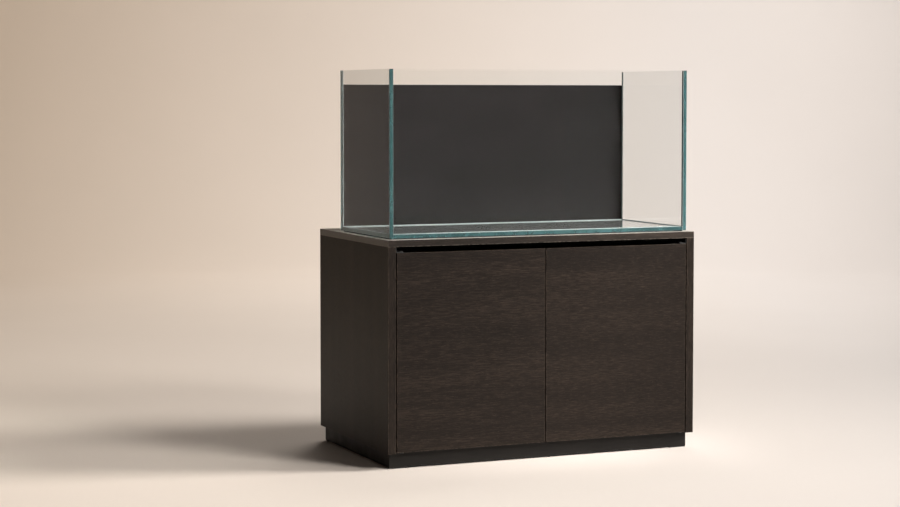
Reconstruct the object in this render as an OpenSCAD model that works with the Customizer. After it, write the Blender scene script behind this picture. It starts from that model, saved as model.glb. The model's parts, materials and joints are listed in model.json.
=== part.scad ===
// Rimless glass aquarium on a two-door cabinet stand, in millimetres.
// X runs to the right, Y to the back and Z up.
// The origin is on the floor, under the middle of the cabinet.

/* [Tank] */
// Outside width of the tank
tank_w = 914; // [600:1:1200]
// Outside depth of the tank
tank_d = 381; // [300:1:500]
// Height of the tank
tank_h = 457; // [300:1:600]
// Thickness of the panes
glass_t = 10; // [6:0.5:15]
// Thickness of the silicone between two panes
joint_t = 1; // [0.5:0.1:2]
// Leg of the silicone bead in the tank's inside corners
bead_leg = 5; // [3:0.5:8]
// Length of joint left open below the rim
bead_drop = 2; // [0:0.5:5]
// Thickness of the film on the back pane
film_t = 0.4; // [0.2:0.1:1]
// Height of clear glass above the film
film_drop = 40; // [0:1:100]
// Thickness of the levelling mat
mat_t = 3; // [2:0.5:6]
// Distance from the tank's edge in to the mat's edge
mat_inset = 6; // [0:1:15]

/* [Cabinet] */
// Height of the cabinet's top above the floor
cabinet_h = 623; // [450:1:900]
// Cabinet top left free at each side of the tank
side_margin = 14; // [0:1:60]
// Cabinet top left free in front of the tank
front_margin = 22; // [0:1:60]
// Cabinet top left free behind the tank
rear_margin = 137; // [20:1:200]
// Thickness of the side panels
side_t = 23; // [18:0.5:30]
// Thickness of the boards, the divider and the rails
board_t = 18; // [15:0.5:25]
// Thickness of the back panel
back_t = 8; // [5:0.5:12]
// Depth of the rebate that holds the back panel's edges
rebate_depth = 9; // [5:0.5:12]
// Distance from the cabinet's back to the back panel
back_recess = 4; // [3.5:0.5:10]
// Height of the rail behind the finger gap
front_rail_h = 60; // [40:1:100]
// Height of the rail under the top at the back
rear_rail_h = 80; // [50:1:120]
// Diameter of the dowels
dowel_d = 8; // [6:1:10]
// Length of the dowels
dowel_l = 34; // [30:1:40]
// Distance from a board's end to its first dowel
dowel_inset = 60; // [40:1:80]

/* [Plinth] */
// Height of the plinth boards
plinth_h = 41; // [30:1:80]
// Thickness of the plinth boards
plinth_t = 18; // [15:0.5:25]
// Distance from the cabinet's sides in to the plinth
plinth_side_inset = 12; // [5:0.5:20]
// Distance from the cabinet's front back to the plinth
plinth_front_inset = 22; // [10:1:60]
// Distance from the cabinet's back in to the plinth
plinth_rear_inset = 8; // [0:1:60]
// Side of the blocks in the plinth's corners
block_side = 36; // [20:1:60]
// Thickness of the floor pads
pad_t = 3; // [2:0.5:8]
// Length of the floor pads
pad_l = 50; // [30:1:80]
// Distance from the edge of a plinth board in to its pad
pad_inset = 1; // [0.5:0.5:3]

/* [Doors] */
// Thickness of the doors
door_t = 18; // [15:0.5:25]
// Gap beside and between the doors
door_gap = 3.5; // [2.5:0.1:5]
// Height of the finger gap over the doors
finger_gap = 17; // [14:0.5:30]
// Depth of the room for fingers behind the doors
finger_room = 30; // [25:1:50]
// Gap between the plinth's level and the doors
door_lift = 3; // [3:0.1:6]
// Thickness of the door bumpers
bumper_t = 2; // [1.5:0.1:4]
// Radius of the bumpers and the magnets
bumper_r = 3; // [2:0.1:3.5]
// Distance from a door's ends to its bumpers
bumper_inset = 60; // [30:1:100]
// Length of the magnets let into the divider
magnet_l = 12; // [8:1:20]
// Thickness of the strike plates let into the doors
strike_t = 1; // [0.5:0.1:2]

/* [Hinges] */
// Radius of the pivot pins
pin_r = 4; // [3:0.1:5]
// Length of pin inside the door
pin_reach = 12; // [8:1:20]
// Wall of the bushes round the pins
bush_wall = 2; // [1:0.1:3]
// Play between a pin and its bush, on the radius
pin_play = 0.05; // [0.02:0.01:0.09]
// Least distance of a door's corner from its side panel as it swings
swing_clear = 0.9; // [0.5:0.1:1.2]
// Distance of the bottom board from the swinging corner
swing_room = 2; // [1:0.5:5]
// Thickness of the hinge leaves
leaf_t = 2; // [1.5:0.1:2.5]
// Width of the hinge leaves
leaf_w = 14; // [12:0.5:15]
// Length of the door's leaves
leaf_l = 60; // [50:1:80]
// Length of the lower leaf that is let into the bottom board
leaf_anchor = 46; // [40:1:60]
// Thickness of the upper bracket
bracket_t = 2.5; // [2:0.1:3]
// Gap between the door and the upper bracket
bracket_gap = 0.6; // [0.4:0.1:1]
// Height of the upper bracket's wall
bracket_h = 13; // [12.5:0.1:15]
// Play over the thrust washer
washer_play = 0.1; // [0.05:0.01:0.2]
// Radius of the hinge screws
screw_r = 2; // [1.5:0.1:2.5]
// Length of the hinge screws
screw_l = 18; // [14:1:20]

/* [Hose holes] */
// Inside radius of the hose grommets
hose_r = 25; // [15:1:30]
// Wall of the grommets
grommet_wall = 4; // [2:0.5:6]
// Width of the grommets' flange outside the hole
grommet_flange = 6; // [4:0.5:10]
// Thickness of the grommets' flange
grommet_flange_t = 3; // [2:0.5:3]
// Length of grommet that stands inside the cabinet
grommet_tail = 3; // [1:0.5:10]
// Distance from the rear rail down to the hose holes' edge
hose_drop = 40; // [20:1:100]

/* [Hidden] */
$fn = 48;
// Play round pieces that are let into or pushed into wood
seat_play = 0.1;
// Extra length that takes a cut clear of a face
cut = 1;
// Thickness of a silicone bead's tips
bead_tip = 0.3;
// Distance that the upper brackets stop short of the front rail
bracket_stop = 3;
// Height and overhang of the upper pins' heads
pin_head = 2;
pin_lip = 1.5;
// Length of the screws through the lower leaves, short of the bottom board's thickness
leaf_screw_short = 5;
// Length of bush beyond the pin's end
bush_end = 2;
// Places of the two screws in each piece of a hinge, as shares of its length
door_leaf_shares = [0.4, 0.7];
lower_leaf_shares = [0.45, 0.8];
bracket_shares = [0.35, 0.8];
// Height of the upper bracket's screws above the middle of its wall, as a share of the steel's thickness
bracket_screw_rise = 0.25;
// Depth of the dowels in the side panels and the top board
dowel_bite = 11;
// Distance of a rail's two dowels from its middle, as a share of its height
dowel_share = 0.3;

// Cabinet
cabinet_w = tank_w + 2 * side_margin;
cabinet_d = front_margin + tank_d + rear_margin;
front_y = -cabinet_d / 2;
back_y = cabinet_d / 2;
outer_x = cabinet_w / 2;
inner_x = outer_x - side_t;
body_z = pad_t + plinth_h;
floor_z = body_z + board_t;
ceiling_z = cabinet_h - board_t;
panel_y = back_y - back_recess - back_t;

// Doors
door_z = body_z + door_lift;
door_top_z = ceiling_z - finger_gap;
door_back_y = front_y + door_t;
divider_y = door_back_y + bumper_t;
rail_y = door_back_y + finger_room;

// Pivots, placed so that the door's inner corners just clear the side panel
corner_room = door_gap - swing_clear;
pivot_in = (pow(door_gap, 2) + pow(door_t / 2, 2) - pow(swing_clear, 2)) / (2 * corner_room);
pivot_x = inner_x - pivot_in;
pivot_y = front_y + door_t / 2;
swing_r = pivot_in - swing_clear;
bottom_y = pivot_y + swing_r + swing_room;
washer_t = door_lift - leaf_t - washer_play;
bush_r = pin_r + pin_play + bush_wall;
bush_l = pin_reach + bush_end;
bracket_z = door_top_z + bracket_gap;
bracket_l = finger_room + door_t - bracket_stop;

// Tank
tank_z = cabinet_h + mat_t;
tank_front_y = front_y + front_margin;
tank_back_y = tank_front_y + tank_d;
tank_mid_y = (tank_front_y + tank_back_y) / 2;
rim_z = tank_z + tank_h;
pane_x = tank_w / 2 - glass_t;
base_top_z = tank_z + glass_t;
wall_z = base_top_z + joint_t;

// Hose holes
grommet_r = hose_r + grommet_wall;
hose_x = inner_x / 2;
hose_z = ceiling_z - rear_rail_h - hose_drop - grommet_r;

// Even places for a row of dowels along a board's end, from one end of the board to the other
function dowel_row(start, end, count) = [
    for (i = [0:count - 1]) start + dowel_inset + i * (end - start - 2 * dowel_inset) / (count - 1)
];
function rail_dowel_heights(rail_h) = [
    for (side = [-1, 1]) ceiling_z - rail_h / 2 + side * dowel_share * rail_h
];
dowel_depths = dowel_row(bottom_y, panel_y, 4);
divider_depths = dowel_row(rail_y, panel_y, 3);
dowel_ends = concat(
    [for (y = dowel_depths) [y, body_z + board_t / 2]],
    [for (z = rail_dowel_heights(front_rail_h)) [rail_y + board_t / 2, z]],
    [for (z = rail_dowel_heights(rear_rail_h)) [panel_y - board_t / 2, z]]
);

// Plinth
plinth_x = outer_x - plinth_side_inset;
plinth_front_y = front_y + plinth_front_inset;
plinth_rear_y = back_y - plinth_rear_inset;

// Centre of the strip of the divider's edge that each door covers
stop_x = (door_gap / 2 + board_t / 2) / 2;
stop_z = (door_z + door_top_z) / 2;

// ---------- Shared shapes ----------

// A box between its lowest and highest corners.
module block(low, high) {
    translate(low)
        cube(high - low);
}

// The same shape on the right side of the cabinet as on the left.
module on_right() {
    mirror([1, 0, 0])
        children();
}

// The same shape on both sides of the cabinet.
module on_both_sides() {
    for (side = [0, 1])
        mirror([side, 0, 0])
            children();
}

// The same shape at the tank's front and back.
module at_front_and_back() {
    for (turn = [0, 1])
        translate([0, turn * 2 * tank_mid_y, 0])
            mirror([0, turn, 0])
                children();
}

// Section of a silicone bead: a corner with a hollow face and blunt tips.
module bead_section() {
    difference() {
        square(bead_leg);
        translate([bead_leg, bead_leg])
            circle(bead_leg - bead_tip);
    }
}

// A bead along +Y with its corner on the axis, filling towards +X and +Z.
module bead_along_y(length) {
    translate([0, length, 0])
        rotate([90, 0, 0])
            linear_extrude(length)
                bead_section();
}

// A countersunk screw whose head is flush with z = 0 and whose shank points down.
module countersunk_screw(radius, length) {
    translate([0, 0, -radius])
        cylinder(h = radius, r1 = radius, r2 = 2 * radius);
    translate([0, 0, -length])
        cylinder(h = length - radius, r = radius);
}

// ---------- Tank ----------

module tank_side_pane() {
    block([-tank_w / 2, tank_front_y, tank_z], [-pane_x, tank_back_y, rim_z]);
}

module tank_left_glass() {
    color("lightcyan", 0.4)
        tank_side_pane();
}

module tank_right_glass() {
    color("lightcyan", 0.4)
        on_right()
            tank_side_pane();
}

module tank_base_glass() {
    color("lightcyan", 0.4)
        block([joint_t - pane_x, tank_front_y, tank_z], [pane_x - joint_t, tank_back_y, base_top_z]);
}

module tank_front_glass() {
    color("lightcyan", 0.4)
        block([joint_t - pane_x, tank_front_y, wall_z], [pane_x - joint_t, tank_front_y + glass_t, rim_z]);
}

module tank_back_glass() {
    color("lightcyan", 0.4)
        block([joint_t - pane_x, tank_back_y - glass_t, wall_z], [pane_x - joint_t, tank_back_y, rim_z]);
}

// One upright joint: the film between the panes and the bead inside them.
module corner_joint() {
    bead_z = base_top_z + bead_leg;
    film_z = rim_z - bead_drop;
    block([-pane_x, tank_front_y, wall_z], [joint_t - pane_x, tank_front_y + glass_t, film_z]);
    translate([-pane_x, tank_front_y + glass_t, bead_z])
        linear_extrude(film_z - bead_z)
            bead_section();
}

module corner_silicone() {
    color("white", 0.7)
        on_both_sides()
            at_front_and_back()
                corner_joint();
}

// The joint round the base pane and the bead round the tank's inside bottom.
module base_silicone() {
    color("white", 0.7) {
        on_both_sides() {
            block([-pane_x, tank_front_y, tank_z], [joint_t - pane_x, tank_back_y, wall_z]);
            translate([-pane_x, tank_front_y + glass_t, base_top_z])
                bead_along_y(tank_d - 2 * glass_t);
        }
        at_front_and_back() {
            block([-pane_x, tank_front_y, base_top_z], [pane_x, tank_front_y + glass_t, wall_z]);
            translate([pane_x, tank_front_y + glass_t, base_top_z])
                rotate([0, 0, 90])
                    bead_along_y(2 * pane_x);
        }
    }
}

module background_film() {
    color("dimgray")
        block(
            [joint_t - pane_x, tank_back_y, base_top_z],
            [pane_x - joint_t, tank_back_y + film_t, rim_z - film_drop]
        );
}

module leveling_mat() {
    color("black")
        block(
            [mat_inset - tank_w / 2, tank_front_y + mat_inset, cabinet_h],
            [tank_w / 2 - mat_inset, tank_back_y - mat_inset, tank_z]
        );
}

// ---------- Cabinet ----------

// Dowels that lie along X, in the ends of the bottom board and the rails.
module lying_dowels(play) {
    on_both_sides()
        for (end = dowel_ends)
            translate([-inner_x - dowel_bite - play, end[0], end[1]])
                rotate([0, 90, 0])
                    cylinder(h = dowel_l + 2 * play, d = dowel_d + play);
}

// Dowels that stand along Z, in the ends of the side panels and the divider.
module standing_dowels(play) {
    on_both_sides()
        for (y = dowel_depths)
            translate([-outer_x + side_t / 2, y, ceiling_z + dowel_bite - dowel_l - play])
                cylinder(h = dowel_l + 2 * play, d = dowel_d + play);
    for (y = divider_depths) {
        translate([0, y, ceiling_z + dowel_bite - dowel_l - play])
            cylinder(h = dowel_l + 2 * play, d = dowel_d + play);
        translate([0, y, floor_z - dowel_bite - play])
            cylinder(h = dowel_l + 2 * play, d = dowel_d + play);
    }
}

module dowel_holes() {
    lying_dowels(seat_play);
    standing_dowels(seat_play);
}

module panel_dowels() {
    color("burlywood") {
        lying_dowels(0);
        standing_dowels(0);
    }
}

module top_board() {
    color("saddlebrown")
        difference() {
            block([-outer_x, front_y, ceiling_z], [outer_x, back_y, cabinet_h]);
            dowel_holes();
        }
}

module side_panel() {
    difference() {
        block([-outer_x, front_y, body_z], [-inner_x, back_y, ceiling_z]);
        block(
            [-inner_x - rebate_depth, panel_y, body_z - cut],
            [-inner_x + cut, back_y + cut, ceiling_z + cut]
        );
        dowel_holes();
        bracket_screw_places()
            countersunk_screw(screw_r + seat_play, screw_l + seat_play);
    }
}

module left_side_panel() {
    color("saddlebrown")
        side_panel();
}

module right_side_panel() {
    color("saddlebrown")
        on_right()
            side_panel();
}

module bottom_board() {
    color("saddlebrown")
        difference() {
            block([-inner_x, bottom_y, body_z], [inner_x, panel_y, floor_z]);
            dowel_holes();
            on_both_sides() {
                block(
                    [-pivot_x - leaf_w / 2 - seat_play, bottom_y - cut, body_z - cut],
                    [-pivot_x + leaf_w / 2 + seat_play, bottom_y + leaf_anchor + seat_play, body_z + leaf_t]
                );
                lower_leaf_screw_places()
                    countersunk_screw(screw_r + seat_play, board_t - leaf_screw_short + cut);
            }
        }
}

module back_panel() {
    color("saddlebrown")
        difference() {
            block(
                [-inner_x - rebate_depth, panel_y, body_z],
                [inner_x + rebate_depth, panel_y + back_t, ceiling_z]
            );
            hose_places()
                cylinder(h = 2 * (back_t + cut), r = grommet_r + seat_play, center = true);
        }
}

// The divider is cut away over the front rail and round the rear one.
module center_divider() {
    color("saddlebrown")
        difference() {
            block([-board_t / 2, divider_y, floor_z], [board_t / 2, panel_y, ceiling_z]);
            block(
                [-board_t, divider_y - cut, ceiling_z - front_rail_h],
                [board_t, rail_y + board_t, ceiling_z + cut]
            );
            block(
                [-board_t, panel_y - board_t, ceiling_z - rear_rail_h],
                [board_t, panel_y + cut, ceiling_z + cut]
            );
            dowel_holes();
            magnet_places()
                translate([0, 0, -cut])
                    cylinder(h = magnet_l + seat_play - bumper_t + cut, r = bumper_r + seat_play);
        }
}

module rail(y, height) {
    difference() {
        block([-inner_x, y, ceiling_z - height], [inner_x, y + board_t, ceiling_z]);
        dowel_holes();
    }
}

module front_rail() {
    color("black")
        rail(rail_y, front_rail_h);
}

module rear_rail() {
    color("saddlebrown")
        rail(panel_y - board_t, rear_rail_h);
}

// The hose holes' centres on the back panel's outer face, with z pointing out.
module hose_places() {
    on_both_sides()
        translate([-hose_x, panel_y + back_t, hose_z])
            rotate([-90, 0, 0])
                children();
}

module grommet() {
    tail_z = -back_t - grommet_tail;
    difference() {
        union() {
            translate([0, 0, tail_z])
                cylinder(h = grommet_flange_t - tail_z, r = grommet_r);
            cylinder(h = grommet_flange_t, r = grommet_r + grommet_flange);
        }
        translate([0, 0, tail_z - cut])
            cylinder(h = grommet_flange_t - tail_z + 2 * cut, r = hose_r);
    }
}

module hose_grommets() {
    color("black")
        hose_places()
            grommet();
}

// ---------- Plinth ----------

module plinth_front() {
    color("black")
        block([-plinth_x, plinth_front_y, pad_t], [plinth_x, plinth_front_y + plinth_t, body_z]);
}

module plinth_rear() {
    color("black")
        block([-plinth_x, plinth_rear_y - plinth_t, pad_t], [plinth_x, plinth_rear_y, body_z]);
}

module plinth_side() {
    block(
        [-plinth_x, plinth_front_y + plinth_t, pad_t],
        [plinth_t - plinth_x, plinth_rear_y - plinth_t, body_z]
    );
}

module plinth_left() {
    color("black")
        plinth_side();
}

module plinth_right() {
    color("black")
        on_right()
            plinth_side();
}

module plinth_blocks() {
    block_front_y = plinth_front_y + plinth_t;
    block_rear_y = plinth_rear_y - plinth_t;
    color("burlywood")
        on_both_sides()
            for (y = [block_front_y, block_rear_y - block_side])
                block(
                    [plinth_t - plinth_x, y, pad_t],
                    [plinth_t - plinth_x + block_side, y + block_side, body_z - leaf_t]
                );
}

module floor_pads() {
    pad_w = plinth_t - 2 * pad_inset;
    color("dimgray")
        for (x = [-plinth_x + pad_inset, -pad_l / 2, plinth_x - pad_inset - pad_l])
            for (y = [plinth_front_y + pad_inset, plinth_rear_y - pad_inset - pad_w])
                block([x, y, 0], [x + pad_l, y + pad_w, pad_t]);
}

// ---------- Doors ----------

// The hinge leaves' seats, the bushes' holes and the screws' holes in a door.
module door_cuts() {
    leaf_places()
        block(
            [-leaf_w / 2 - seat_play, -leaf_w / 2 - seat_play, -leaf_t],
            [leaf_l - leaf_w / 2 + seat_play, leaf_w / 2 + seat_play, cut]
        );
    leaf_places()
        translate([0, 0, -bush_l - cut])
            cylinder(h = bush_l + 2 * cut, r = bush_r + pin_play);
    leaf_screw_places()
        countersunk_screw(screw_r + seat_play, screw_l + seat_play);
    strike_place()
        cylinder(h = strike_t + cut, r = bumper_r + seat_play);
}

module door() {
    difference() {
        block([-inner_x + door_gap, front_y, door_z], [-door_gap / 2, door_back_y, door_top_z]);
        door_cuts();
    }
}

module left_door() {
    color("saddlebrown")
        door();
}

module right_door() {
    color("saddlebrown")
        on_right()
            door();
}

module door_bumpers() {
    color("gainsboro")
        on_both_sides()
            for (z = [door_z + bumper_inset, door_top_z - bumper_inset])
                translate([-stop_x, divider_y, z])
                    rotate([90, 0, 0])
                        cylinder(h = bumper_t - seat_play, r = bumper_r);
}

// The magnets' places on the divider's front edge, with z pointing into the wood.
module magnet_places() {
    on_both_sides()
        translate([-stop_x, divider_y, stop_z])
            rotate([-90, 0, 0])
                children();
}

module door_magnets() {
    color("silver")
        magnet_places()
            translate([0, 0, seat_play - bumper_t])
                cylinder(h = magnet_l - seat_play, r = bumper_r);
}

// The strike plate's place in the left door's back, with z pointing back.
module strike_place() {
    translate([-stop_x, door_back_y - strike_t, stop_z])
        rotate([-90, 0, 0])
            children();
}

module left_strike_plate() {
    color("silver")
        strike_place()
            cylinder(h = strike_t, r = bumper_r);
}

module right_strike_plate() {
    color("silver")
        on_right()
            left_strike_plate();
}

// ---------- Hinges, made for the left door ----------

// The pivots on the door's bottom and top edges, with z pointing out of the door.
module leaf_places() {
    translate([-pivot_x, pivot_y, door_z])
        mirror([0, 0, 1])
            children();
    translate([-pivot_x, pivot_y, door_top_z])
        children();
}

module leaf_screw_places() {
    leaf_places()
        for (share = door_leaf_shares)
            translate([leaf_l * share, 0, 0])
                children();
}

// The screws that hold the lower leaf under the bottom board.
module lower_leaf_screw_places() {
    for (share = lower_leaf_shares)
        translate([-pivot_x, bottom_y + leaf_anchor * share, body_z])
            mirror([0, 0, 1])
                children();
}

// The screws that hold the upper bracket on the side panel.
module bracket_screw_places() {
    screw_z = bracket_z + bracket_h / 2 + bracket_t * bracket_screw_rise;
    for (share = bracket_shares)
        translate([-inner_x + bracket_t, front_y + bracket_l * share, screw_z])
            rotate([0, 90, 0])
                children();
}

module lower_leaf() {
    difference() {
        union() {
            block(
                [-pivot_x - leaf_w / 2, pivot_y, body_z],
                [-pivot_x + leaf_w / 2, bottom_y + leaf_anchor, body_z + leaf_t]
            );
            translate([-pivot_x, pivot_y, body_z])
                cylinder(h = leaf_t, d = leaf_w);
        }
        pin_hole();
        lower_leaf_screw_places()
            countersunk_screw(screw_r + seat_play, 2 * leaf_t);
    }
}

module left_lower_leaf() {
    color("dimgray")
        lower_leaf();
}

module right_lower_leaf() {
    color("dimgray")
        on_right()
            lower_leaf();
}

module upper_bracket() {
    tab_x = -pivot_x + leaf_w / 2;
    difference() {
        union() {
            block(
                [-inner_x, pivot_y - leaf_w / 2, bracket_z],
                [-pivot_x, pivot_y + leaf_w / 2, bracket_z + bracket_t]
            );
            translate([-pivot_x, pivot_y, bracket_z])
                cylinder(h = bracket_t, d = leaf_w);
            block([-inner_x, pivot_y, bracket_z], [tab_x, front_y + bracket_l, bracket_z + bracket_t]);
            block(
                [-inner_x, pivot_y - leaf_w / 2, bracket_z],
                [-inner_x + bracket_t, front_y + bracket_l, bracket_z + bracket_h]
            );
        }
        pin_hole();
        bracket_screw_places()
            countersunk_screw(screw_r + seat_play, screw_l);
    }
}

module left_upper_bracket() {
    color("dimgray")
        upper_bracket();
}

module right_upper_bracket() {
    color("dimgray")
        on_right()
            upper_bracket();
}

// The hole on the pivot's axis, right through the hinge's fixed parts.
module pin_hole() {
    translate([-pivot_x, pivot_y, 0])
        cylinder(h = cabinet_h, r = pin_r + pin_play);
}

// The lower pin stands in the lower leaf; the upper pin hangs in the bracket by its head.
module pivot_pins() {
    translate([-pivot_x, pivot_y, body_z])
        cylinder(h = door_lift + pin_reach, r = pin_r);
    translate([-pivot_x, pivot_y, door_top_z - pin_reach])
        cylinder(h = pin_reach + bracket_gap + bracket_t, r = pin_r);
    translate([-pivot_x, pivot_y, bracket_z + bracket_t])
        cylinder(h = pin_head, r = pin_r + pin_lip);
}

module left_pivot_pins() {
    color("dimgray")
        pivot_pins();
}

module right_pivot_pins() {
    color("dimgray")
        on_right()
            pivot_pins();
}

module thrust_washer() {
    translate([-pivot_x, pivot_y, body_z + leaf_t])
        difference() {
            cylinder(h = washer_t, r = bush_r);
            translate([0, 0, -cut])
                cylinder(h = washer_t + 2 * cut, r = pin_r + seat_play);
        }
}

module left_thrust_washer() {
    color("black")
        thrust_washer();
}

module right_thrust_washer() {
    color("black")
        on_right()
            thrust_washer();
}

module bracket_screws() {
    bracket_screw_places()
        countersunk_screw(screw_r, screw_l);
    lower_leaf_screw_places()
        countersunk_screw(screw_r, board_t - leaf_screw_short);
}

module left_bracket_screws() {
    color("dimgray")
        bracket_screws();
}

module right_bracket_screws() {
    color("dimgray")
        on_right()
            bracket_screws();
}

module door_leaves() {
    difference() {
        leaf_places()
            block([-leaf_w / 2, -leaf_w / 2, -leaf_t], [leaf_l - leaf_w / 2, leaf_w / 2, 0]);
        leaf_places()
            translate([0, 0, -leaf_t - cut])
                cylinder(h = leaf_t + 2 * cut, r = bush_r + pin_play);
        leaf_screw_places()
            countersunk_screw(screw_r + seat_play, screw_l);
    }
}

module left_door_leaves() {
    color("dimgray")
        door_leaves();
}

module right_door_leaves() {
    color("dimgray")
        on_right()
            door_leaves();
}

module pivot_bushes() {
    leaf_places()
        translate([0, 0, -bush_l])
            difference() {
                cylinder(h = bush_l, r = bush_r);
                translate([0, 0, -cut])
                    cylinder(h = bush_l + 2 * cut, r = pin_r + pin_play);
            }
}

module left_pivot_bushes() {
    color("black")
        pivot_bushes();
}

module right_pivot_bushes() {
    color("black")
        on_right()
            pivot_bushes();
}

module leaf_screws() {
    leaf_screw_places()
        countersunk_screw(screw_r, screw_l);
}

module left_leaf_screws() {
    color("dimgray")
        leaf_screws();
}

module right_leaf_screws() {
    color("dimgray")
        on_right()
            leaf_screws();
}

// ---------- Nodes ----------

tank_left_glass();
tank_right_glass();
tank_base_glass();
tank_front_glass();
tank_back_glass();
corner_silicone();
base_silicone();
background_film();
leveling_mat();
top_board();
left_side_panel();
right_side_panel();
bottom_board();
back_panel();
center_divider();
front_rail();
rear_rail();
hose_grommets();
panel_dowels();
plinth_front();
plinth_rear();
plinth_left();
plinth_right();
plinth_blocks();
floor_pads();
left_door();
right_door();
door_bumpers();
door_magnets();
left_strike_plate();
right_strike_plate();
left_lower_leaf();
right_lower_leaf();
left_upper_bracket();
right_upper_bracket();
left_pivot_pins();
right_pivot_pins();
left_thrust_washer();
right_thrust_washer();
left_bracket_screws();
right_bracket_screws();
left_door_leaves();
right_door_leaves();
left_pivot_bushes();
right_pivot_bushes();
left_leaf_screws();
right_leaf_screws();
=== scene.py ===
# The looks of an open-top glass tank on a two-door cabinet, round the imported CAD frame. All in metres:
# X runs to the right, Y to the back and Z up, with the origin on the floor under the cabinet's middle.

import json
import math

import bmesh
import bpy
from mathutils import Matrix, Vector


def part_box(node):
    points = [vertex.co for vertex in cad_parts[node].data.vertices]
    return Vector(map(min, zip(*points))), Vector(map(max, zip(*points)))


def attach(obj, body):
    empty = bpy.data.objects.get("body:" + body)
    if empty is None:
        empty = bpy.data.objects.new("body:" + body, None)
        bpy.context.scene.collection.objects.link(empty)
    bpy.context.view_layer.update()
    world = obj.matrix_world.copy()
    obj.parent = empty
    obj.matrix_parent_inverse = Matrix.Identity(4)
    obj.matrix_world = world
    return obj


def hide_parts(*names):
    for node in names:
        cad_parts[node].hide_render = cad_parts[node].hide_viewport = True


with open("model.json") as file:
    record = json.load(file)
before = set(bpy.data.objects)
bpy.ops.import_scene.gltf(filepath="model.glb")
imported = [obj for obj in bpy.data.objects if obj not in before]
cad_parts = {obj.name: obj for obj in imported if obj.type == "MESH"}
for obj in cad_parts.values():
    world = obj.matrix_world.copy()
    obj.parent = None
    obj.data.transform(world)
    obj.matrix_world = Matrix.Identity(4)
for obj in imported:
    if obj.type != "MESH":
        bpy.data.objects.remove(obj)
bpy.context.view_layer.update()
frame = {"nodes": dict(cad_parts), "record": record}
NODES = frame["nodes"]

MM = 0.001
X, Y, Z = 0, 1, 2

# Room round a piece that stands between panes, so that no two faces lie in one plane
AIR = 0.1 * MM


# ---------- Materials ----------

def socket_named(sockets, identifier):
    """The socket with an identifier. Sockets of a Mix node share their names, so a name isn't enough."""
    return next(socket for socket in sockets if socket.identifier == identifier)


class Look:
    """A Principled material whose patterns come from nodes in the piece's own coordinates."""

    def __init__(self, name, settings, seed=0):
        self.material = bpy.data.materials.new(name)
        self.material.use_nodes = True
        self.nodes = self.material.node_tree.nodes
        self.links = self.material.node_tree.links
        self.shader = self.nodes["Principled BSDF"]
        for socket, value in settings.items():
            self.shader.inputs[socket].default_value = value
        coordinates = self.nodes.new("ShaderNodeTexCoord")
        self.place = coordinates.outputs["Object"]
        self.normal = coordinates.outputs["Normal"]
        self.seed = seed

    def make(self, kind, inputs, **properties):
        """Adds a node, and links or sets its inputs."""
        node = self.nodes.new("ShaderNode" + kind)
        for key, value in properties.items():
            setattr(node, key, value)
        for key, value in inputs.items():
            if isinstance(value, bpy.types.NodeSocket):
                self.links.new(value, node.inputs[key])
            else:
                node.inputs[key].default_value = value
        return node

    def math(self, operation, a, b=0.0):
        return self.make("Math", {0: a, 1: b}, operation=operation).outputs[0]

    def weighted(self, *shares):
        """The sum of (value, weight) pairs."""
        total = None
        for value, weight in shares:
            part = self.math("MULTIPLY", value, weight)
            total = part if total is None else self.math("ADD", total, part)
        return total

    def noise(self, sizes, detail=2.0, roughness=0.5, place=None):
        """Noise from 0 to 1 whose blotches measure sizes along X, Y and Z."""
        self.seed += 1
        shift = (0.37 * self.seed, 0.73 * self.seed, 0.19 * self.seed)
        mapping = self.make(
            "Mapping",
            {"Vector": place or self.place, "Location": shift, "Scale": [1 / s for s in sizes]},
        )
        inputs = {"Vector": mapping.outputs[0], "Scale": 1.0, "Detail": detail, "Roughness": roughness}
        return self.make("TexNoise", inputs).outputs[0]

    def scaled(self, value, start, end, low=0.0, high=1.0):
        """Value from start to end, turned into low to high and held there."""
        inputs = {"Value": value, "From Min": start, "From Max": end, "To Min": low, "To Max": high}
        return self.make("MapRange", inputs).outputs[0]

    def mix(self, factor, first, second):
        """A colour between two colours, which are numbers or sockets."""
        node = self.make("Mix", {"Factor": factor}, data_type="RGBA")
        for identifier, value in (("A_Color", first), ("B_Color", second)):
            target = socket_named(node.inputs, identifier)
            if isinstance(value, bpy.types.NodeSocket):
                self.links.new(value, target)
            else:
                target.default_value = (*value, 1.0)
        return socket_named(node.outputs, "Result_Color")

    def edges(self, low, high, width):
        """1 at the edges of a box, falling to 0 at that width from them.

        A point's distance from the nearest edge is the second smallest of its distances from the faces.
        """
        below = self.make("VectorMath", {0: self.place, 1: low}, operation="SUBTRACT").outputs[0]
        above = self.make("VectorMath", {0: high, 1: self.place}, operation="SUBTRACT").outputs[0]
        nearest = self.make("VectorMath", {0: below, 1: above}, operation="MINIMUM").outputs[0]
        a, b, c = self.make("SeparateXYZ", {0: nearest}).outputs
        lesser = self.math("MINIMUM", a, b)
        greater = self.math("MAXIMUM", a, b)
        second = self.math("MAXIMUM", lesser, self.math("MINIMUM", greater, c))
        return self.scaled(second, 0.0, width, 1.0, 0.0)

    def finish(self, colour=None, roughness=None, relief=None, depth=0.0, strength=0.5):
        """Links the patterns to the shader and gives the material back."""
        if colour is not None:
            self.links.new(colour, self.shader.inputs["Base Color"])
        if roughness is not None:
            self.links.new(roughness, self.shader.inputs["Roughness"])
        if relief is not None:
            bump = self.make("Bump", {"Height": relief, "Distance": depth, "Strength": strength})
            self.links.new(bump.outputs[0], self.shader.inputs["Normal"])
        return self.material


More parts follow.
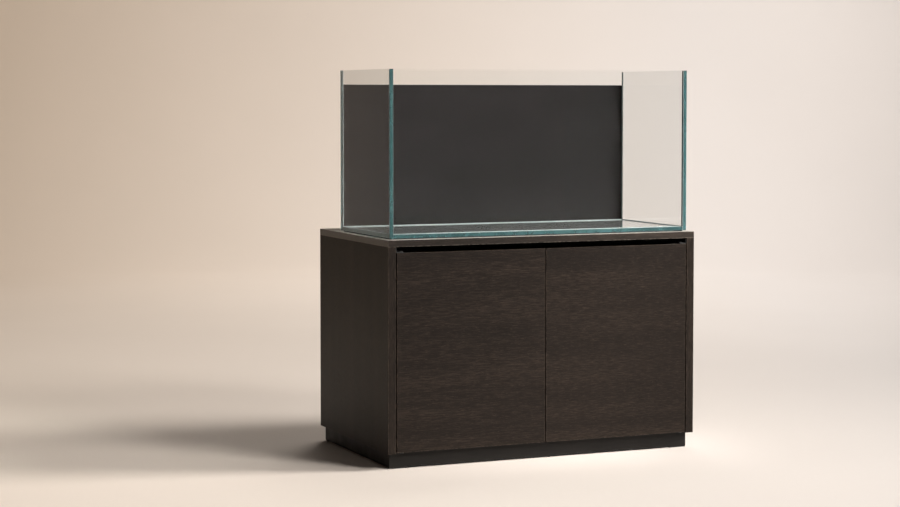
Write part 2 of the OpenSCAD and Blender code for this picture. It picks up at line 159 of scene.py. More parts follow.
def turned_at_ends(look, along):
    """Coordinates whose grain turns on the two end faces, where an edge band covers the end grain."""
    across = (along + 1) % 3
    parts = look.make("SeparateXYZ", {0: look.place}).outputs
    normal = look.make("SeparateXYZ", {0: look.normal}).outputs
    order = [X, Y, Z]
    order[along] = across
    order[across] = along
    swapped = look.make("CombineXYZ", {i: parts[order[i]] for i in range(3)}).outputs[0]
    end_face = look.math("GREATER_THAN", look.math("ABSOLUTE", normal[along]), 0.7)
    node = look.make("Mix", {"Factor": end_face}, data_type="VECTOR")
    for identifier, value in (("A_Vector", look.place), ("B_Vector", swapped)):
        look.links.new(value, socket_named(node.inputs, identifier))
    return socket_named(node.outputs, "Result_Vector")


WENGE_DARK = (0.0075, 0.0050, 0.0036)
WENGE_MID = (0.0125, 0.0085, 0.0062)
WENGE_LIGHT = (0.0400, 0.0275, 0.0200)
# The pale edge colour: partly wear, partly a painted highlight on the arrises
WENGE_WORN_AND_HIGHLIGHT = (0.190, 0.145, 0.110)
WENGE_SATIN = 0.38

# Features of the veneer: length along the grain and width in mm, then detail and roughness of the noise
BANDS = (900, 60, 2, 0.5)
FIGURE = (30, 2.1, 4, 0.7)
FIBRES = (22, 0.55, 2, 0.6)
FLECKS = (13, 1.5, 2, 0.6)
PORES = (7, 0.45, 1, 0.5)

# Width of the pale edge band and how strongly it shows: wear and a painted highlight
ARRIS_WIDTH = 1.2 * MM
ARRIS_WEAR_AND_HIGHLIGHT = 0.45

# The top board catches more light: a soft pale bloom, and paler edges, which are worn and also a painted
# highlight
TOP_BLOOM = {"Sheen Weight": 0.9, "Sheen Roughness": 0.4, "Sheen Tint": (1.0, 0.92, 0.84, 1.0)}
TOP_ARRIS_WEAR_AND_HIGHLIGHT = (0.50, 0.43, 0.37)


def veneer(node, along, seed):
    """Dark wenge veneer for one board, with its grain along an axis, and its edges a little worn and
    lightened as a painted highlight.
    """
    is_top = node == "top_board"
    settings = {"Specular IOR Level": 0.17}
    if is_top:
        settings.update(TOP_BLOOM)
    look = Look("veneer_" + node, settings, seed * 20)
    place = turned_at_ends(look, along)

    def streaks(length, width, detail, roughness):
        sizes = [width * MM] * 3
        sizes[along] = length * MM
        return look.noise(sizes, detail, roughness, place)

    bands = streaks(*BANDS)
    figure = streaks(*FIGURE)
    fibres = streaks(*FIBRES)
    flecks = look.scaled(streaks(*FLECKS), 0.60, 0.70)
    pores = look.scaled(streaks(*PORES), 0.60, 0.72)
    wear_and_highlight_patches = look.scaled(look.noise([9 * MM] * 3, 3), 0.4, 0.6)

    tone = look.weighted((bands, 0.20), (figure, 0.55), (fibres, 0.25))
    dark = look.mix(look.scaled(tone, 0.36, 0.52), WENGE_DARK, WENGE_MID)
    wood = look.mix(look.scaled(tone, 0.50, 0.66), dark, WENGE_LIGHT)
    wood = look.mix(look.math("MULTIPLY", flecks, 0.7), wood, WENGE_LIGHT)
    wood = look.mix(look.math("MULTIPLY", pores, 0.75), wood, WENGE_DARK)

    low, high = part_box(node)
    # Painted highlight with wear: the arrises are lightened in patches
    rubbed_and_highlit = look.math("MULTIPLY", look.edges(low, high, ARRIS_WIDTH), wear_and_highlight_patches)
    arris = TOP_ARRIS_WEAR_AND_HIGHLIGHT if is_top else WENGE_WORN_AND_HIGHLIGHT
    colour = look.mix(look.math("MULTIPLY", rubbed_and_highlit, ARRIS_WEAR_AND_HIGHLIGHT), wood, arris)

    lacquer = look.scaled(figure, 0.3, 0.7, WENGE_SATIN, WENGE_SATIN + 0.1)
    roughness = look.math("ADD", lacquer, look.math("MULTIPLY", pores, 0.2))
    relief = look.math("SUBTRACT", look.math("MULTIPLY", fibres, 0.5), pores)
    return look.finish(colour, roughness, relief, 0.12 * MM, 0.45)


def painted_wood(name, colour, light, roughness, seed=0):
    """Stained or painted board: the grain only just shows through."""
    look = Look(name, {"Specular IOR Level": 0.25}, seed)
    grain = look.noise([90 * MM, 3 * MM, 90 * MM], 4, 0.6)
    mottle = look.noise([30 * MM] * 3, 3)
    tone = look.scaled(look.weighted((grain, 0.6), (mottle, 0.4)), 0.3, 0.7)
    relief = look.noise([20 * MM, 0.6 * MM, 20 * MM], 3)
    uneven = look.scaled(mottle, 0.3, 0.7, roughness, roughness + 0.12)
    return look.finish(look.mix(tone, colour, light), uneven, relief, 0.08 * MM)


def birch():
    """Plain pale hardwood with short fibres."""
    look = Look("birch", {"Specular IOR Level": 0.3})
    rings = look.noise([3 * MM, 3 * MM, 60 * MM], 4, 0.6)
    fibres = look.noise([0.5 * MM, 0.5 * MM, 12 * MM], 2)
    colour = look.mix(look.scaled(rings, 0.35, 0.65), (0.50, 0.35, 0.21), (0.68, 0.52, 0.34))
    return look.finish(colour, look.scaled(fibres, 0.3, 0.7, 0.5, 0.68), fibres, 0.1 * MM)


def plastic(name, colour, light, roughness, grain=0.9, depth=0.05, settings=None):
    """Moulded plastic, rubber or blackened steel with a fine grain. Grain and depth are in mm."""
    look = Look(name, settings or {})
    blotches = look.noise([14 * MM] * 3, 3)
    pebbles = look.noise([grain * MM] * 3, 3, 0.6)
    tone = look.scaled(blotches, 0.3, 0.7)
    uneven = look.scaled(pebbles, 0.3, 0.7, roughness - 0.05, roughness + 0.08)
    return look.finish(look.mix(tone, colour, light), uneven, pebbles, depth * MM)


def metal(name, colour, light, roughness, streak):
    """Plated metal with fine drawn lines, streak mm long, and faint stains."""
    look = Look(name, {"Metallic": 1.0})
    lines = look.noise([streak * MM, 0.25 * MM, 0.25 * MM], 2)
    stains = look.noise([5 * MM] * 3, 3)
    tone = look.scaled(stains, 0.35, 0.65)
    uneven = look.scaled(lines, 0.3, 0.7, roughness, roughness + 0.15)
    return look.finish(look.mix(tone, colour, light), uneven, lines, 0.02 * MM)


GLASS_EDGE = (0.12, 0.235, 0.245)
GLASS_EDGE_DARK = (0.08, 0.175, 0.185)
# How much of the light a ground edge scatters instead of letting it in, and how rough it is
EDGE_FROST = 0.45
EDGE_ROUGHNESS = 0.12
# A face whose normal has less than this along the thin axis is an edge
FACE_LIMIT = 0.8
CLEAR_GLASS = {"Transmission Weight": 1.0, "IOR": 1.5, "Specular Tint": (0.4, 0.4, 0.4, 1.0)}
# Fine dust that shows on the base pane, which is seen nearly edge on
BASE_DUST = {"Sheen Weight": 0.035, "Sheen Roughness": 0.5, "Sheen Tint": (1.0, 0.98, 0.97, 1.0)}
# The teal that light takes on along its way inside a pane
GLASS_DEPTH = {"Color": (0.10, 0.74, 0.78, 1.0), "Density": 1.5}
# What a face leaves of a lamp's light that goes straight through it
LAMP_TINT = (0.97, 0.985, 0.98, 1.0)


def glass(name, thin):
    """Clear low-iron glass that lets the lamps through. Its ground edges, off the thin axis, are teal."""
    settings = dict(CLEAR_GLASS)
    if thin == Z:
        settings.update(BASE_DUST)
    look = Look(name, settings)
    facing = look.make("SeparateXYZ", {0: look.normal}).outputs[thin]
    edge = look.math("LESS_THAN", look.math("ABSOLUTE", facing), FACE_LIMIT)
    cloud = look.noise([40 * MM, 40 * MM, 40 * MM], 3)
    smears = look.noise([60 * MM, 60 * MM, 90 * MM], 4, 0.6)

    teal = look.mix(look.scaled(cloud, 0.35, 0.65), GLASS_EDGE_DARK, GLASS_EDGE)
    colour = look.mix(edge, (1.0, 1.0, 1.0), teal)
    frost = look.math("MULTIPLY", edge, EDGE_FROST)
    look.links.new(look.math("SUBTRACT", 1.0, frost), look.shader.inputs["Transmission Weight"])
    ground = look.math("MULTIPLY", edge, EDGE_ROUGHNESS)
    roughness = look.math("ADD", look.scaled(smears, 0.55, 0.8, 0.0, 0.02), ground)
    look.finish(colour, roughness)

    output = look.nodes["Material Output"]
    look.links.new(look.make("VolumeAbsorption", GLASS_DEPTH).outputs[0], output.inputs["Volume"])
    is_shadow = look.make("LightPath", {}).outputs["Is Shadow Ray"]
    clear = look.make("BsdfTransparent", {"Color": LAMP_TINT})
    mixed = look.make("MixShader", {0: is_shadow, 1: look.shader.outputs[0], 2: clear.outputs[0]})
    look.links.new(mixed.outputs[0], output.inputs["Surface"])
    return look.material


def silicone():
    """Milky clear silicone with tooling ripples."""
    look = Look("silicone", {"Specular IOR Level": 0.5, "Coat Weight": 0.2})
    cloud = look.noise([7 * MM, 7 * MM, 14 * MM], 3)
    ripple = look.noise([2.5 * MM, 2.5 * MM, 9 * MM], 2)
    colour = look.mix(look.scaled(cloud, 0.3, 0.7), (0.17, 0.19, 0.187), (0.24, 0.265, 0.262))
    return look.finish(colour, look.scaled(ripple, 0.3, 0.7, 0.28, 0.42), ripple, 0.15 * MM)


def film():
    """Matte charcoal film with faint roller marks, not quite flat."""
    look = Look("film", {"Specular IOR Level": 0.12})
    cloud = look.noise([160 * MM, 160 * MM, 90 * MM], 3)
    marks = look.noise([60 * MM, 60 * MM, 6 * MM], 2)
    waves = look.noise([90 * MM, 90 * MM, 50 * MM], 1)
    tone = look.scaled(look.weighted((cloud, 0.7), (marks, 0.3)), 0.35, 0.65)
    colour = look.mix(tone, (0.010, 0.0075, 0.0075), (0.015, 0.0117, 0.0117))
    return look.finish(colour, look.scaled(marks, 0.3, 0.7, 0.42, 0.55), waves, 0.05 * MM, 0.3)


def foam():
    """Closed-cell foam: small round cells in a dark sheet."""
    look = Look("mat_foam", {"Specular IOR Level": 0.25})
    cells = look.make("TexVoronoi", {"Vector": look.place, "Scale": 1 / (0.9 * MM)}).outputs["Distance"]
    colour = look.mix(look.scaled(cells, 0.0, 0.7), (0.012, 0.012, 0.012), (0.03, 0.03, 0.029))
    return look.finish(colour, look.scaled(cells, 0.0, 0.7, 0.75, 0.95), cells, 0.2 * MM)


# Each pane, with the glass made for its thin axis
PANES = {
    "tank_left_glass": "glass_x", "tank_right_glass": "glass_x", "tank_base_glass": "glass_z",
    "tank_front_glass": "glass_y", "tank_back_glass": "glass_y",
}

# Each veneered board of the cabinet, with the axis that its grain follows
VENEERED = {
    "top_board": X, "bottom_board": X, "left_side_panel": Z, "right_side_panel": Z,
    "center_divider": Z, "left_door": X, "right_door": X, "rear_rail": X,
}


def make_materials():
    """Every material by its slot in the record.

    Glass has one for each thin axis of a pane, and veneer has one for each board.
    """
    looks = {
        "glass_x": glass("glass_x", X),
        "glass_y": glass("glass_y", Y),
        "glass_z": glass("glass_z", Z),
        "silicone": silicone(),
        "film": film(),
        "mat_foam": foam(),
        "back_board": painted_wood("back_board", (0.030, 0.023, 0.019), (0.055, 0.043, 0.036), 0.55),
        "black_rail": painted_wood(
            "black_rail", (0.006, 0.0055, 0.005), (0.011, 0.010, 0.009), 0.6, seed=40,
        ),
        "plinth_black": painted_wood(
            "plinth_black", (0.006, 0.005, 0.0043), (0.011, 0.0095, 0.008), 0.42, seed=80,
        ),
        "grommet_plastic": plastic(
            "grommet_plastic", (0.014, 0.014, 0.014), (0.022, 0.022, 0.022), 0.42,
        ),
        "birch": birch(),
        "pad_rubber": plastic(
            "pad_rubber", (0.02, 0.02, 0.02), (0.036, 0.035, 0.034), 0.8, grain=0.6, depth=0.1,
        ),
        "clear_bumper": plastic(
            "clear_bumper", (0.80, 0.83, 0.82), (0.90, 0.92, 0.91), 0.12, grain=2.0, depth=0.02,
            settings={"Transmission Weight": 0.85, "IOR": 1.48},
        ),
        "magnet": metal("magnet", (0.62, 0.61, 0.58), (0.78, 0.77, 0.74), 0.16, streak=0.5),
        "steel": metal("steel", (0.44, 0.44, 0.43), (0.62, 0.62, 0.60), 0.26, streak=8),
        "black_steel": plastic(
            "black_steel", (0.012, 0.012, 0.012), (0.02, 0.02, 0.02), 0.5, grain=0.5, depth=0.08,
        ),
        "nylon": plastic(
            "nylon", (0.014, 0.014, 0.014), (0.024, 0.024, 0.023), 0.42, grain=0.6, depth=0.03,
        ),
    }
    for seed, (node, along) in enumerate(VENEERED.items()):
        looks["veneer_" + node] = veneer(node, along, seed + 1)
    return looks


LOOKS = make_materials()


def paint(obj, material):
    """Makes a material the only one of an object."""
    obj.data.materials.clear()
    obj.data.materials.append(material)


# ---------- Shapes ----------
# A fill function adds faces to the bmesh that it is given.

def add_piece(name, mesh, slot, body="stand", replaces=()):
    """Puts a new mesh into the scene as a piece of the object."""
    piece = bpy.data.objects.new(name, mesh)
    bpy.context.scene.collection.objects.link(piece)
    paint(piece, LOOKS[slot])
    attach(piece, body)
    if replaces:
        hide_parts(*replaces)
    return piece


def mesh_from(name, fill):
    """A mesh from a function that fills a bmesh, with its normals pointing out."""
    shape = bmesh.new()
    fill(shape)
    bmesh.ops.recalc_face_normals(shape, faces=shape.faces)
    mesh = bpy.data.meshes.new(name)
    shape.to_mesh(mesh)
    shape.free()
    return mesh


def smooth(mesh):
    """Shades a mesh smooth, and gives it back."""
    mesh.polygons.foreach_set("use_smooth", [True] * len(mesh.polygons))
    return mesh


def soften(obj, width, segments=2, angle=35):
    """Rounds the edges that are sharper than the angle."""
    bevel = obj.modifiers.new("arris", "BEVEL")
    bevel.width = width
    bevel.segments = segments
    bevel.limit_method = "ANGLE"
    bevel.angle_limit = math.radians(angle)
    return bevel


def rounded_corners(low, high, radius, steps=6):
    """Outline of a rectangle with round corners, counter-clockwise, as points in a plane."""
    centres = [
        (high[0] - radius, high[1] - radius), (low[0] + radius, high[1] - radius),
        (low[0] + radius, low[1] + radius), (high[0] - radius, low[1] + radius),
    ]
    points = []
    for quarter, centre in enumerate(centres):
        for step in range(steps + 1):
            turn = math.pi / 2 * (quarter + step / steps)
            points.append((centre[0] + radius * math.cos(turn), centre[1] + radius * math.sin(turn)))
    return points


def fill_prism(shape, outline, axis, start, end):
    """A closed prism of an outline across the axis, from start to end along it."""
    def at(point, level):
        place = [point[0], point[1]]
        place.insert(axis, level)
        return shape.verts.new(place)

    rings = [[at(point, level) for point in outline] for level in (start, end)]
    shape.faces.new(rings[0])
    shape.faces.new(rings[1])
    for i in range(len(outline)):
        j = (i + 1) % len(outline)
        shape.faces.new((rings[0][i], rings[0][j], rings[1][j], rings[1][i]))


def fill_block(shape, low, high):
    """A box between two corners."""
    outline = [(low[X], low[Y]), (high[X], low[Y]), (high[X], high[Y]), (low[X], high[Y])]
    fill_prism(shape, outline, Z, low[Z], high[Z])


# ---------- Tank ----------

BEAD = 4 * MM
BEAD_SEGMENTS = 8
# How far the rounded room is wider than the block, so that the beads end in a thin edge
BEAD_FEATHER = 0.35 * MM
# How deep the silicone stands back from the outside of the panes
JOINT_RECESS = 0.3 * MM

LEFT_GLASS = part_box("tank_left_glass")
RIGHT_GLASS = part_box("tank_right_glass")
BASE_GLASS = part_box("tank_base_glass")
FRONT_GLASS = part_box("tank_front_glass")
BACK_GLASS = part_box("tank_back_glass")
BEAD_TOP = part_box("corner_silicone")[1].z


def applied(piece):
    """The mesh of an object with its modifiers in it; the object itself goes."""
    depsgraph = bpy.context.evaluated_depsgraph_get()
    mesh = bpy.data.meshes.new_from_object(piece.evaluated_get(depsgraph))
    bpy.data.objects.remove(piece)
    return mesh


def loose_object(name, fill):
    """An object that only helps to shape another and is removed again."""
    piece = bpy.data.objects.new(name, mesh_from(name, fill))
    bpy.context.scene.collection.objects.link(piece)
    return piece


def bead_mesh():
    """The tank's inside less the same inside with round edges: what is left is the bead in every corner."""
    low = Vector((LEFT_GLASS[1].x + AIR, FRONT_GLASS[1].y + AIR, BASE_GLASS[1].z + AIR))
    high = Vector((RIGHT_GLASS[0].x - AIR, BACK_GLASS[0].y - AIR, BEAD_TOP))
    spread = Vector((1, 1, 1)) * BEAD_FEATHER
    clear_of_top = Vector((0, 0, 100 * MM))

    def fill_room(shape):
        fill_block(shape, low - spread, high + spread + clear_of_top)
        bmesh.ops.bevel(
            shape, geom=shape.edges[:], offset=BEAD, offset_type="OFFSET",
            segments=BEAD_SEGMENTS, profile=0.5, affect="EDGES", clamp_overlap=True,
        )

    room = loose_object("bead_room", fill_room)
    beads = loose_object("bead_block", lambda shape: fill_block(shape, low, high))
    cutter = beads.modifiers.new("room", "BOOLEAN")
    cutter.operation = "DIFFERENCE"
    cutter.solver = "EXACT"
    cutter.object = room
    mesh = applied(beads)
    bpy.data.objects.remove(room)
    return mesh


def joint_mesh():
    """The thin silicone between the panes, which shows as a pale line on every edge of the tank."""
    inner = FRONT_GLASS[1].x + AIR
    outer = RIGHT_GLASS[0].x - AIR
    front = (FRONT_GLASS[0].y + JOINT_RECESS, FRONT_GLASS[1].y)
    back = (BACK_GLASS[0].y, BACK_GLASS[1].y - JOINT_RECESS)
    foot = LEFT_GLASS[0].z + AIR
    base_top = BASE_GLASS[1].z + AIR
    upright_foot = FRONT_GLASS[0].z

    def fill(shape):
        for side in (-1, 1):
            near, far = sorted((side * inner, side * outer))
            fill_block(shape, (near, front[0], foot), (far, back[1], upright_foot))
            for start, end in (front, back):
                fill_block(shape, (near, start, upright_foot + AIR), (far, end, BEAD_TOP))
        for start, end in (front, back):
            low = (-inner + AIR, start, base_top)
            high = (inner - AIR, end, upright_foot - AIR)
            fill_block(shape, low, high)

    return mesh_from("joint_silicone", fill)


def add_silicone():
    """The beads inside the tank and the thin joints between the panes."""
    nodes = ("corner_silicone", "base_silicone")
    add_piece("silicone_beads", smooth(bead_mesh()), "silicone", replaces=nodes)
    add_piece("silicone_joints", joint_mesh(), "silicone", replaces=nodes)


def add_film():
    """The film, a hair behind the back pane, with round corners."""
    low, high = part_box("background_film")
    outline = rounded_corners((low.x, low.z), (high.x, high.z), 2 * MM)

    def fill(shape):
        fill_prism(shape, outline, Y, low.y + AIR, high.y)

    add_piece("film_sheet", mesh_from("film_sheet", fill), "film", replaces=("background_film",))


def add_mat():
    """The foam mat, with round corners and edges that bulge a little under the load."""
    low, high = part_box("leveling_mat")
    middle = (low.z + high.z) / 2
    # Height of each ring and how far it stands in from the mat's widest line, in mm
    layers = [
        (low.z, 0.6),
        (low.z + 0.5 * MM, 0.15),
        (middle, 0.0),
        (high.z - 0.6 * MM, 0.15),
        (high.z - AIR, 0.6),
    ]

    def ring(shape, level, inset):
        corner = (low.x + inset, low.y + inset)
        opposite = (high.x - inset, high.y - inset)
        return [shape.verts.new((x, y, level)) for x, y in rounded_corners(corner, opposite, 4 * MM)]

    def fill(shape):
        rings = [ring(shape, level, inset * MM) for level, inset in layers]
        shape.faces.new(rings[0])
        shape.faces.new(rings[-1])
        for lower, upper in zip(rings, rings[1:]):
            for i in range(len(lower)):
                j = (i + 1) % len(lower)
                shape.faces.new((lower[i], lower[j], upper[j], upper[i]))

    add_piece("foam_mat", mesh_from("foam_mat", fill), "mat_foam", replaces=("leveling_mat",))


# ---------- Small pieces ----------

def solids(node):
    """The lowest and highest corner of each separate solid in a CAD node."""
    shape = bmesh.new()
    shape.from_mesh(NODES[node].data)
    bmesh.ops.remove_doubles(shape, verts=shape.verts, dist=0.001 * MM)
    left = set(shape.verts)
    boxes = []
    while left:
        reached = [left.pop()]
        corners = []
        while reached:
            vertex = reached.pop()
            corners.append(vertex.co.copy())
            for edge in vertex.link_edges:
                other = edge.other_vert(vertex)
                if other in left:
                    left.remove(other)
                    reached.append(other)
        boxes.append([Vector(pick(c[i] for c in corners) for i in (X, Y, Z)) for pick in (min, max)])
    shape.free()
    return sorted(boxes, key=lambda pair: tuple(round(v, 5) for v in pair[0]))


def fill_lathe(shape, profile, centre, axis, sign, steps=40):
    """A turned shape, closed where a radius is 0, with its last ring given back.

    The profile is a list of (distance along the axis, radius).
    """
    across = [i for i in range(3) if i != axis]
    rings = []
    for along, radius in profile:
        ring = []
        for step in range(steps if radius else 1):
            turn = 2 * math.pi * step / steps
            place = list(centre)
            place[axis] += sign * along
            place[across[0]] += radius * math.cos(turn)
            place[across[1]] += radius * math.sin(turn)
            ring.append(shape.verts.new(place))
        rings.append(ring)
    for lower, upper in zip(rings, rings[1:]):
        for i in range(steps):
            corners = [lower[i % len(lower)], lower[(i + 1) % len(lower)]]
            corners += [upper[(i + 1) % len(upper)], upper[i % len(upper)]]
            shape.faces.new(list(dict.fromkeys(corners)))
    return rings[-1]


DOME_STEPS = 8


def add_bumpers():
    """Soft domes on the divider's edge that each door closes against."""
    def fill(shape):
        for low, high in solids("door_bumpers"):
            centre = ((low.x + high.x) / 2, high.y, (low.z + high.z) / 2)
            radius = (high.x - low.x) / 2
            height = high.y - low.y
            profile = [(0, 0), (0, radius * 0.94), (height * 0.12, radius)]
            for step in range(1, DOME_STEPS):
                turn = math.pi / 2 * step / DOME_STEPS
                profile.append((height * (0.35 + 0.65 * math.sin(turn)), radius * math.cos(turn)))
            profile.append((height, 0))
            fill_lathe(shape, profile, centre, Y, -1)

    mesh = smooth(mesh_from("bumper_domes", fill))
    add_piece("bumper_domes", mesh, "clear_bumper", replaces=("door_bumpers",))


RIM_STEPS = 48
HEAD_DEPTH = 2 * MM
TIP = 1.5 * MM
PITCH = 1.8 * MM


def screw_profile(length, head):
    """(distance from the head's face, radius) pairs, from the tip up the thread to the head's rim."""
    shank = head / 2
    along = length - TIP
    profile = [(length, 0), (along, shank * 0.55)]
    while along - PITCH > HEAD_DEPTH + PITCH:
        profile.append((along - PITCH * 0.5, shank))
        profile.append((along - PITCH * 0.62, shank))
        along -= PITCH
        profile.append((along, shank * 0.72))
    profile += [(HEAD_DEPTH, shank), (0.15 * MM, head * 0.99), (0, head * 0.93)]
    return profile


def add_screws(node, body, axis, looks_up):
    """Countersunk screws with a cross recess and a thread. A head looks along the axis, or against it."""
    def fill(shape):
        for low, high in solids(node):
            middle = (low + high) / 2
            sign = 1 if looks_up(middle) else -1
            centre = list(middle)
            centre[axis] = high[axis] if sign > 0 else low[axis]
            head = max(high[i] - low[i] for i in (X, Y, Z) if i != axis) / 2
            profile = screw_profile(high[axis] - low[axis], head)
            rim = fill_lathe(shape, profile, centre, axis, -sign, RIM_STEPS)
            fill_cross_head(shape, rim, centre, axis, sign, head)

    name = node + "_turned"
    add_piece(name, mesh_from(name, fill), "black_steel", body, replaces=(node,))


def cross_outline(half, reach):
    """A cross with arms of a half width and a reach, counter-clockwise, three points to an arm."""
    outline = []
    for cos, sin in ((1, 0), (0, 1), (-1, 0), (0, -1)):
        for along, side in ((half, -half), (reach, -half), (reach, half)):
            outline.append((cos * along - sin * side, sin * along + cos * side))
    return outline


def fill_cross_head(shape, rim, centre, axis, sign, head):
    """Closes a screw's head with a face that has a tapered cross sunk into it."""
    across = [i for i in (X, Y, Z) if i != axis]
    outline = cross_outline(0.11 * head, 0.56 * head)

    def ring(depth, scale):
        verts = []
        for u, v in outline:
            place = list(centre)
            place[axis] -= sign * depth
            place[across[0]] += u * scale
            place[across[1]] += v * scale
            verts.append(shape.verts.new(place))
        return verts

    top = ring(0, 1.0)
    bottom = ring(0.28 * head, 0.55)
    count = len(outline)
    share = RIM_STEPS // count
    for i in range(count):
        j = (i + 1) % count
        arc = [rim[k % RIM_STEPS] for k in range((i - 1) * share, i * share + 1)]
        shape.faces.new((top[i], top[j], bottom[j], bottom[i]))
        shape.faces.new([top[i], *arc, top[j]])
    shape.faces.new(bottom)


def dress_cad():
    """Gives the CAD nodes their materials, and soft edges to those that stay in the visual model."""
    for part in frame["record"]["subparts"]:
        node = part["node"]
        slot = PANES.get(node) or part["material_slot"]
        paint(NODES[node], LOOKS.get("veneer_" + node) or LOOKS[slot])
    for node in VENEERED:
        soften(NODES[node], 0.6 * MM)
    for node in ("front_rail", "back_panel", "plinth_front", "plinth_rear", "plinth_left", "plinth_right"):
        soften(NODES[node], 0.5 * MM)
    for node in PANES:
        soften(NODES[node], 0.9 * MM, segments=1)
    for node in ("plinth_blocks", "floor_pads", "hose_grommets"):
        soften(NODES[node], 0.6 * MM)


# ---------- Studio ----------

CAMERA_PLACE = (-2.4716, -5.3437, 1.0054)
# Degrees: to the right of the Y axis, and down
CAMERA_YAW = 23.27
CAMERA_PITCH = 2.97
LENS = 81.5
SENSOR_WIDTH = 36
FRAME_SHIFT = -0.0556


def make_camera():
    """The photograph's view: from the left in front, a little over the tank's foot."""
    data = bpy.data.cameras.new("camera")
    data.sensor_width = SENSOR_WIDTH
    data.lens = LENS
    data.shift_y = FRAME_SHIFT
    camera = bpy.data.objects.new("camera", data)
    camera.location = CAMERA_PLACE
    camera.rotation_euler = (math.radians(90 - CAMERA_PITCH), 0, math.radians(-CAMERA_YAW))
    bpy.context.scene.collection.objects.link(camera)
    bpy.context.scene.camera = camera


ROOM_RADIUS = 9.0
ROOM_BEND = 3.0
BEND_STEPS = 24
ROOM_HEIGHT = 7.5
ROOM_STEPS = 128

# Directions on the floor: to the middle of the wall's lit part, and to the right in the main view
LIT_SIDE = (0.75, 0.66, 0.0)
VIEW_RIGHT = (0.919, -0.395, 0.0)

# The paper's colours; the first two each have a darker and a lighter tone, and the third is painted shade
# for the wall outside the main view
WARM_PAPER = ((0.735, 0.610, 0.490), (0.765, 0.635, 0.515))
PALE_PAPER = ((0.710, 0.665, 0.640), (0.740, 0.695, 0.670))
UNLIT_PAPER = (0.28, 0.235, 0.195)


def backdrop_material():
    """Pale paper with a very fine weave, warmer to the left in the main view.

    The wall outside the main view is painted in shade, darker the more it faces away from the lit side, so
    that the panes don't reflect it too brightly.
    """
    look = Look("backdrop", {"Specular IOR Level": 0.1, "Roughness": 0.9})
    cloud = look.noise([1.2, 1.2, 1.2], 3)
    weave = look.noise([6 * MM, 6 * MM, 6 * MM], 3, 0.6)
    tone = look.scaled(look.weighted((cloud, 0.6), (weave, 0.4)), 0.3, 0.7)
    flat = look.make("VectorMath", {0: look.place, 1: (1, 1, 0)}, operation="MULTIPLY").outputs[0]
    reach = look.make("VectorMath", {0: flat}, operation="LENGTH").outputs["Value"]

    def distance_towards(direction):
        return look.make("VectorMath", {0: flat, 1: direction}, operation="DOT_PRODUCT").outputs["Value"]

    warmth = look.scaled(distance_towards(VIEW_RIGHT), -3.3, 1.5)
    paper = look.mix(warmth, look.mix(tone, *WARM_PAPER), look.mix(tone, *PALE_PAPER))
    far = look.scaled(reach, 4.6, 7.0)
    facing_lit_side = look.math("DIVIDE", distance_towards(LIT_SIDE), reach)
    # Painted shade: the far wall is darkened where it faces away from the lit side
    unlit = look.math("MULTIPLY", far, look.scaled(facing_lit_side, 0.50, 0.28))
    return look.finish(look.mix(unlit, paper, UNLIT_PAPER))


def backdrop_profile():
    """(radius, height) pairs: a flat floor, a quarter-round bend and an upright wall."""
    flat = ROOM_RADIUS - ROOM_BEND
    profile = [(0, 0), (flat, 0)]
    for step in range(1, BEND_STEPS + 1):
        turn = math.pi / 2 * step / BEND_STEPS
        profile.append((flat + ROOM_BEND * math.sin(turn), ROOM_BEND * (1 - math.cos(turn))))
    profile.append((ROOM_RADIUS, ROOM_HEIGHT))
    return profile


def add_backdrop():
    """A round seamless studio: the floor bends up into a wall all the way round."""
    def ring(shape, radius, level):
        count = ROOM_STEPS if radius else 1
        turns = [2 * math.pi * i / ROOM_STEPS for i in range(count)]
        return [shape.verts.new((radius * math.cos(t), radius * math.sin(t), level)) for t in turns]

    def fill(shape):
        rings = [ring(shape, radius, level) for radius, level in backdrop_profile()]
        for lower, upper in zip(rings, rings[1:]):
            for i in range(ROOM_STEPS):
                j = (i + 1) % ROOM_STEPS
                corners = [lower[i % len(lower)], lower[j % len(lower)], upper[j], upper[i]]
                shape.faces.new(list(dict.fromkeys(corners)))

    backdrop = bpy.data.objects.new("backdrop", smooth(mesh_from("backdrop", fill)))
    bpy.context.scene.collection.objects.link(backdrop)
    paint(backdrop, backdrop_material())


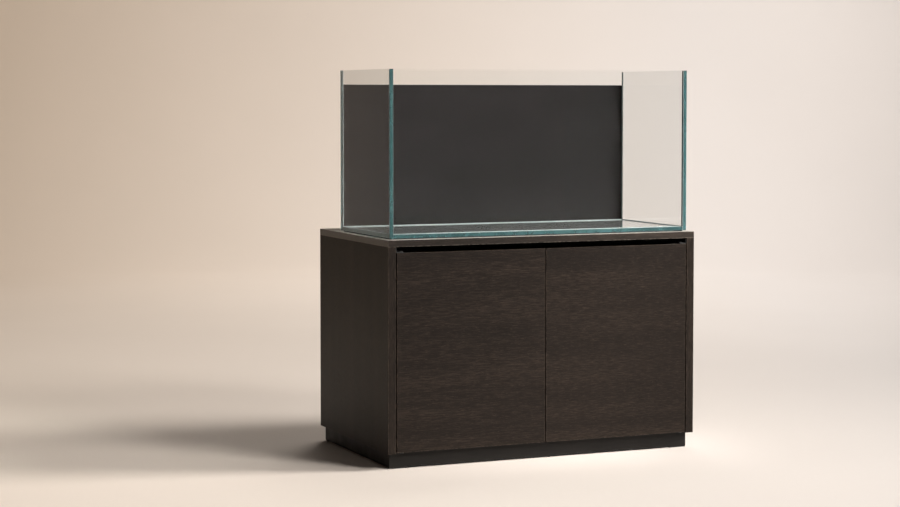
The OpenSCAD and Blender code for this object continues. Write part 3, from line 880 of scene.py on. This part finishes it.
# Square soft lights: name, place, the point it looks at, side, watts and spread in degrees
SOFTBOXES = [
    ("key", (6.6, -2.6, 4.6), (-0.6, -0.1, 0.2), 2.4, 66, 45),
    ("front", (3.4, -6.0, 4.4), (-1.0, -0.3, 0.0), 2.4, 30, 40),
    ("fascia", (1.3, -1.3, 1.9), (0.35, -0.30, 0.50), 0.4, 1.4, 26),
    ("back", (0.9, 2.2, 0.45), (0.0, 0.27, 0.55), 0.5, 2.6, 50),
    ("left", (-1.8, -2.6, 4.5), (-1.7, -0.4, 0.0), 1.0, 1.2, 32),
    ("rear_top", (2.0, 3.5, 6.5), (2.0, 4.5, 0.0), 3.0, 106, 120),
    ("rear_floor", (3.5, 4.0, 5.0), (3.0, 8.0, 0.0), 2.0, 118, 150),
    ("rear_side", (5.5, 2.5, 3.0), (2.0, 6.5, 0.0), 1.5, 11, 150),
    ("rear_middle", (1.5, 3.2, 5.5), (1.2, 3.6, 0.0), 2.0, 8, 70),
    ("right_floor", (2.6, 1.6, 4.5), (2.4, 1.8, 0.0), 1.0, 7, 60),
    ("wall", (5.0, 4.8, 3.0), (3.6, 8.5, 2.2), 1.5, 9, 150),
]
LAMP_COLOUR = (1.0, 0.97, 0.93)
# A lamp so near the tank that it would show in the edge of the base pane
KEPT_OUT_OF_GLASS = "back"


def make_lights():
    """A studio lit from the right: the left side of the object and of the wall stay in the shade."""
    for name, place, target, size, watts, spread in SOFTBOXES:
        data = bpy.data.lights.new(name, "AREA")
        data.size = size
        data.energy = watts
        data.spread = math.radians(spread)
        data.color = LAMP_COLOUR
        light = bpy.data.objects.new(name, data)
        light.location = place
        light.rotation_euler = (Vector(target) - Vector(place)).to_track_quat("-Z", "Y").to_euler()
        light.visible_camera = False
        if name == KEPT_OUT_OF_GLASS:
            light.visible_transmission = False
            light.visible_glossy = False
        bpy.context.scene.collection.objects.link(light)
    bpy.context.scene.view_settings.view_transform = "Standard"


def allow_bounces():
    """Light that enters the edge of a pane turns back inside it many times before it comes out."""
    cycles = bpy.context.scene.cycles
    cycles.max_bounces = 32
    cycles.glossy_bounces = 28
    cycles.transmission_bounces = 28
    cycles.transparent_max_bounces = 24


# The upper leaf screws look up and the lower ones down; this height lies between them
HALF_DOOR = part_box("left_door")[1].z / 2

dress_cad()
add_silicone()
add_film()
add_mat()
add_bumpers()
for side in ("left", "right"):
    add_screws(side + "_bracket_screws", "stand", X, lambda middle: middle.x < 0)
    add_screws(side + "_leaf_screws", side + "_door", Z, lambda middle: middle.z > HALF_DOOR)
make_camera()
add_backdrop()
make_lights()
allow_bounces()
